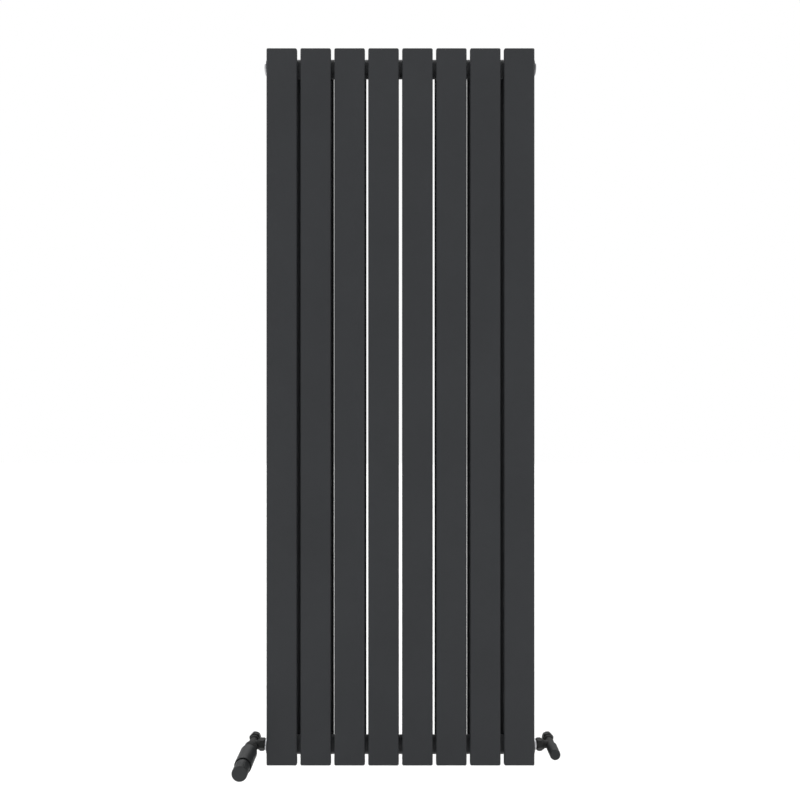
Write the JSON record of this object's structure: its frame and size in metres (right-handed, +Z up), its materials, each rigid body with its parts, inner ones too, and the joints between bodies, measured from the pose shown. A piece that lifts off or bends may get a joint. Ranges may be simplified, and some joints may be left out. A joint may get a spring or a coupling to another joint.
{
  "type": "vertical flat tube radiator",
  "caption": "Tall anthracite double flat-tube radiator for a wall, with round headers, a thermostatic valve, a lockshield valve, plugs and wall brackets.",
  "frame": {"origin": "middle of the four wall fixing holes, on the wall plane at the radiator's mid height", "axes": "+X to the viewer's right, +Y horizontally into the wall, +Z up"},
  "size_m": [0.7154, 0.1822, 1.603],
  "materials": {
    "powder_coat": "fine satin anthracite powder coat",
    "bush_steel": "machined steel, oiled",
    "bracket_paint": "satin anthracite paint",
    "liner_plastic": "natural nylon",
    "plug_chrome": "bright chrome plate",
    "vent_nickel": "dark nickel plate",
    "vent_brass": "machined brass",
    "seal_rubber": "matt black rubber",
    "valve_paint": "satin anthracite coating on brass",
    "head_plastic": "satin anthracite plastic",
    "cap_plastic": "satin anthracite plastic",
    "spring_steel": "bright stainless steel"
  },
  "bodies": {
    "radiator": {"front_panel_1": "powder_coat", "front_panel_2": "powder_coat", "front_panel_3": "powder_coat", "front_panel_4": "powder_coat", "front_panel_5": "powder_coat", "front_panel_6": "powder_coat", "front_panel_7": "powder_coat", "front_panel_8": "powder_coat", "rear_panel_1": "powder_coat", "rear_panel_2": "powder_coat", "rear_panel_3": "powder_coat", "rear_panel_4": "powder_coat", "rear_panel_5": "powder_coat", "rear_panel_6": "powder_coat", "rear_panel_7": "powder_coat", "rear_panel_8": "powder_coat", "front_end_plates": "powder_coat", "rear_end_plates": "powder_coat", "top_header": "powder_coat", "bottom_header": "powder_coat", "front_stubs": "powder_coat", "rear_stubs": "powder_coat", "hanging_pockets": "powder_coat", "header_bushes": "bush_steel", "wall_brackets": "bracket_paint", "bracket_liners": "liner_plastic", "flow_diverter": "liner_plastic", "blanking_plug": "plug_chrome", "trv_tail": "plug_chrome", "lockshield_tail": "plug_chrome", "air_vent_body": "vent_nickel", "trv_olive": "vent_brass", "lockshield_olive": "vent_brass", "trv_insert": "vent_brass", "lockshield_gland_nut": "vent_brass", "blanking_plug_seal": "seal_rubber", "air_vent_seal": "seal_rubber", "trv_tail_seal": "seal_rubber", "lockshield_tail_seal": "seal_rubber", "trv_body": "valve_paint", "trv_compression_nut": "valve_paint", "trv_union_nut": "valve_paint", "lockshield_body": "valve_paint", "lockshield_compression_nut": "valve_paint", "lockshield_union_nut": "valve_paint", "trv_collar": "valve_paint", "trv_barrel": "head_plastic", "trv_return_spring": "spring_steel"},
    "dial": {"trv_dial": "head_plastic"},
    "pin_train": {"trv_pin": "spring_steel", "trv_disc": "seal_rubber", "trv_capsule": "vent_brass"},
    "lock_cap": {"lockshield_cap": "cap_plastic"},
    "regulating_spindle": {"lockshield_spindle": "vent_brass"},
    "regulating_plug": {"lockshield_plug": "vent_brass"},
    "bleed": {"bleed_screw": "vent_brass"}
  },
  "joints": [
    {"name": "dial_turn", "type": "hinge", "parent": "radiator", "child": "dial", "pos_m": [-0.3393, -0.155, -0.773], "axis": [0, 1, 0], "range_deg": [-150, 150]},
    {"name": "pin_slide", "type": "slide", "parent": "radiator", "child": "pin_train", "axis": [0, 1, 0], "range_m": [-0.0013, 0.0013], "deforming": ["trv_return_spring"]},
    {"name": "cap_pull", "type": "slide", "parent": "radiator", "child": "lock_cap", "axis": [0, -1, 0], "range_m": [0, 0.034]},
    {"name": "spindle_turn", "type": "hinge", "parent": "radiator", "child": "regulating_spindle", "pos_m": [0.3437, -0.077, -0.773], "axis": [0, 1, 0], "range_deg": [-720, 330]},
    {"name": "plug_slide", "type": "slide", "parent": "radiator", "child": "regulating_plug", "axis": [0, 1, 0], "range_m": [-0.0029, 0.00137]},
    {"name": "bleed_turn", "type": "hinge", "parent": "radiator", "child": "bleed", "pos_m": [0.3042, -0.064, 0.773], "axis": [1, 0, 0], "range_deg": [0, 360]}
  ],
  "couplings": [
    {"joint": "dial_turn", "follows": "pin_slide", "rad_per_m": 2000},
    {"joint": "spindle_turn", "follows": "plug_slide", "rad_per_m": 4188.8}
  ]
}
